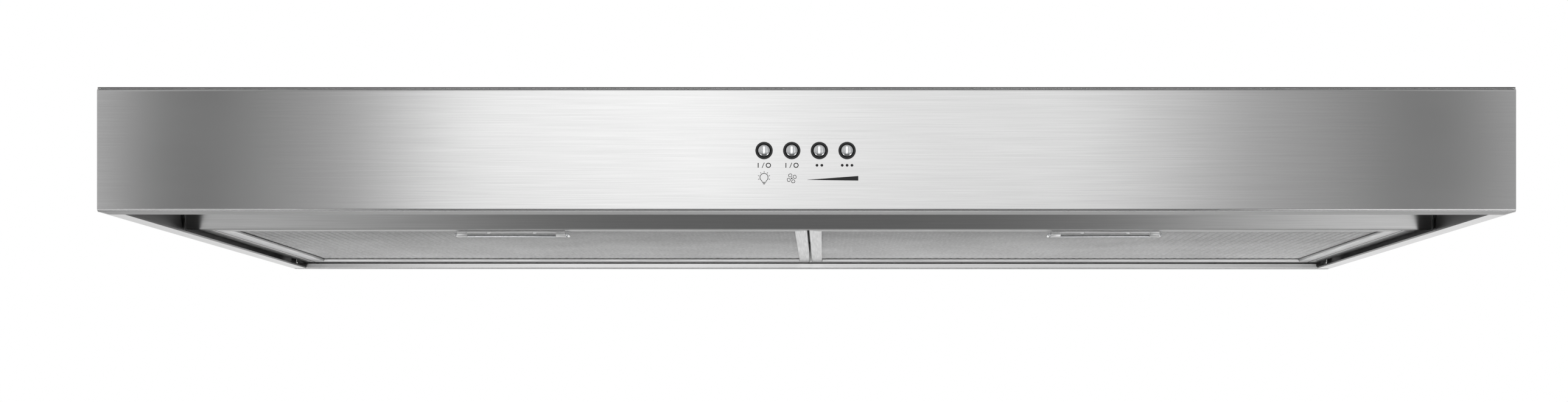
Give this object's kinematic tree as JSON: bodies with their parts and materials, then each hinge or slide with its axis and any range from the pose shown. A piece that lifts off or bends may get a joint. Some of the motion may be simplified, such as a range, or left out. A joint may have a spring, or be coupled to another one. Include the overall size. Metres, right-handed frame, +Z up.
{
  "type": "under cabinet range hood",
  "caption": "Slim under cabinet range hood in brushed stainless steel with push buttons and two hinged mesh grease filters under a sloping underside.",
  "frame": {"origin": "centre of the top face, which lies against the cabinet above", "axes": "+X right as seen from the front, +Y from the front towards the wall, +Z up"},
  "size_m": [0.759, 0.502, 0.127],
  "materials": {
    "stainless": "brushed stainless sheet with a fine horizontal grain",
    "galvanised": "galvanised steel sheet, satin",
    "filter_frame": "rolled aluminium channel, satin",
    "filter_mesh": "expanded aluminium mesh in layers",
    "button_metal": "polished metal",
    "black_plastic": "moulded black plastic",
    "spring_steel": "bare spring steel",
    "white_plastic": "moulded white plastic",
    "lamp_lens": "frosted lens",
    "rubber": "moulded rubber",
    "cable": "sheathed cable"
  },
  "bodies": {
    "root": {"top_panel": "stainless", "back_panel": "stainless", "side_panel_left": "stainless", "side_panel_right": "stainless", "front_fascia": "stainless", "rear_duct_knockout": "stainless", "supply_knockout": "stainless", "lamp_panel": "stainless", "inner_front_panel": "stainless", "filter_rail_left": "galvanised", "filter_rail_right": "galvanised", "filter_rear_rail": "galvanised", "blower_scroll": "galvanised", "blower_top_plate": "galvanised", "blower_inlet_plate": "galvanised", "blower_inlet_ring": "galvanised", "motor": "galvanised", "outlet_box": "galvanised", "damper_stop": "galvanised", "wiring_box": "galvanised", "wiring_box_cover": "galvanised", "button_bezel_light": "black_plastic", "button_bezel_fan": "black_plastic", "button_bezel_medium": "black_plastic", "button_bezel_high": "black_plastic", "switch_housing": "black_plastic", "button_spring_light": "spring_steel", "button_spring_fan": "spring_steel", "button_spring_medium": "spring_steel", "button_spring_high": "spring_steel", "damper_pin": "spring_steel", "lamp_housing_left": "white_plastic", "lamp_housing_right": "white_plastic", "lamp_driver": "white_plastic", "terminal_block": "white_plastic", "motor_capacitor": "white_plastic", "lamp_lens_left": "lamp_lens", "lamp_lens_right": "lamp_lens", "motor_mount": "rubber", "control_cable": "cable"},
    "button_light": {"button_light": "button_metal"},
    "button_fan": {"button_fan": "button_metal"},
    "button_medium": {"button_medium": "button_metal"},
    "button_high": {"button_high": "button_metal"},
    "filter_left": {"filter_frame_left": "filter_frame", "filter_mesh_left": "filter_mesh", "filter_spring_left": "spring_steel", "pull_bracket_left": "filter_frame"},
    "pull_left": {"filter_pull_left": "button_metal"},
    "filter_right": {"filter_frame_right": "filter_frame", "filter_mesh_right": "filter_mesh", "filter_spring_right": "spring_steel", "pull_bracket_right": "filter_frame"},
    "pull_right": {"filter_pull_right": "button_metal"},
    "fan": {"fan_wheel": "galvanised", "motor_shaft": "spring_steel", "wheel_nut": "spring_steel"},
    "damper": {"damper_flap": "galvanised"}
  },
  "joints": [
    {"name": "button_light_press", "type": "slide", "parent": "root", "child": "button_light", "axis": [0, 1, 0], "range_m": [0, 0.0025], "stiffness_N_per_m": 600, "deforming": ["button_spring_light"]},
    {"name": "button_fan_press", "type": "slide", "parent": "root", "child": "button_fan", "axis": [0, 1, 0], "range_m": [0, 0.0025], "stiffness_N_per_m": 600, "deforming": ["button_spring_fan"]},
    {"name": "button_medium_press", "type": "slide", "parent": "root", "child": "button_medium", "axis": [0, 1, 0], "range_m": [0, 0.0025], "stiffness_N_per_m": 600, "deforming": ["button_spring_medium"]},
    {"name": "button_high_press", "type": "slide", "parent": "root", "child": "button_high", "axis": [0, 1, 0], "range_m": [0, 0.0025], "stiffness_N_per_m": 600, "deforming": ["button_spring_high"]},
    {"name": "filter_left_hinge", "type": "hinge", "parent": "root", "child": "filter_left", "pos_m": [-0.1813, 0.2355, -0.12105], "axis": [1, 0, 0], "range_deg": [0, 80]},
    {"name": "pull_left_hinge", "type": "hinge", "parent": "filter_left", "child": "pull_left", "pos_m": [-0.1813, -0.06081, -0.08743], "axis": [-1, 0, 0], "range_deg": [0, 95]},
    {"name": "filter_right_hinge", "type": "hinge", "parent": "root", "child": "filter_right", "pos_m": [0.1813, 0.2355, -0.12105], "axis": [1, 0, 0], "range_deg": [0, 80]},
    {"name": "pull_right_hinge", "type": "hinge", "parent": "filter_right", "child": "pull_right", "pos_m": [0.1813, -0.06081, -0.08743], "axis": [-1, 0, 0], "range_deg": [0, 95]},
    {"name": "fan_spin", "type": "hinge", "parent": "root", "child": "fan", "pos_m": [0, 0.03, -0.035], "axis": [0, 0, 1], "continuous": true},
    {"name": "damper_hinge", "type": "hinge", "parent": "root", "child": "damper", "pos_m": [0, 0.1958, -0.01], "axis": [-1, 0, 0], "range_deg": [0, 75]}
  ]
}
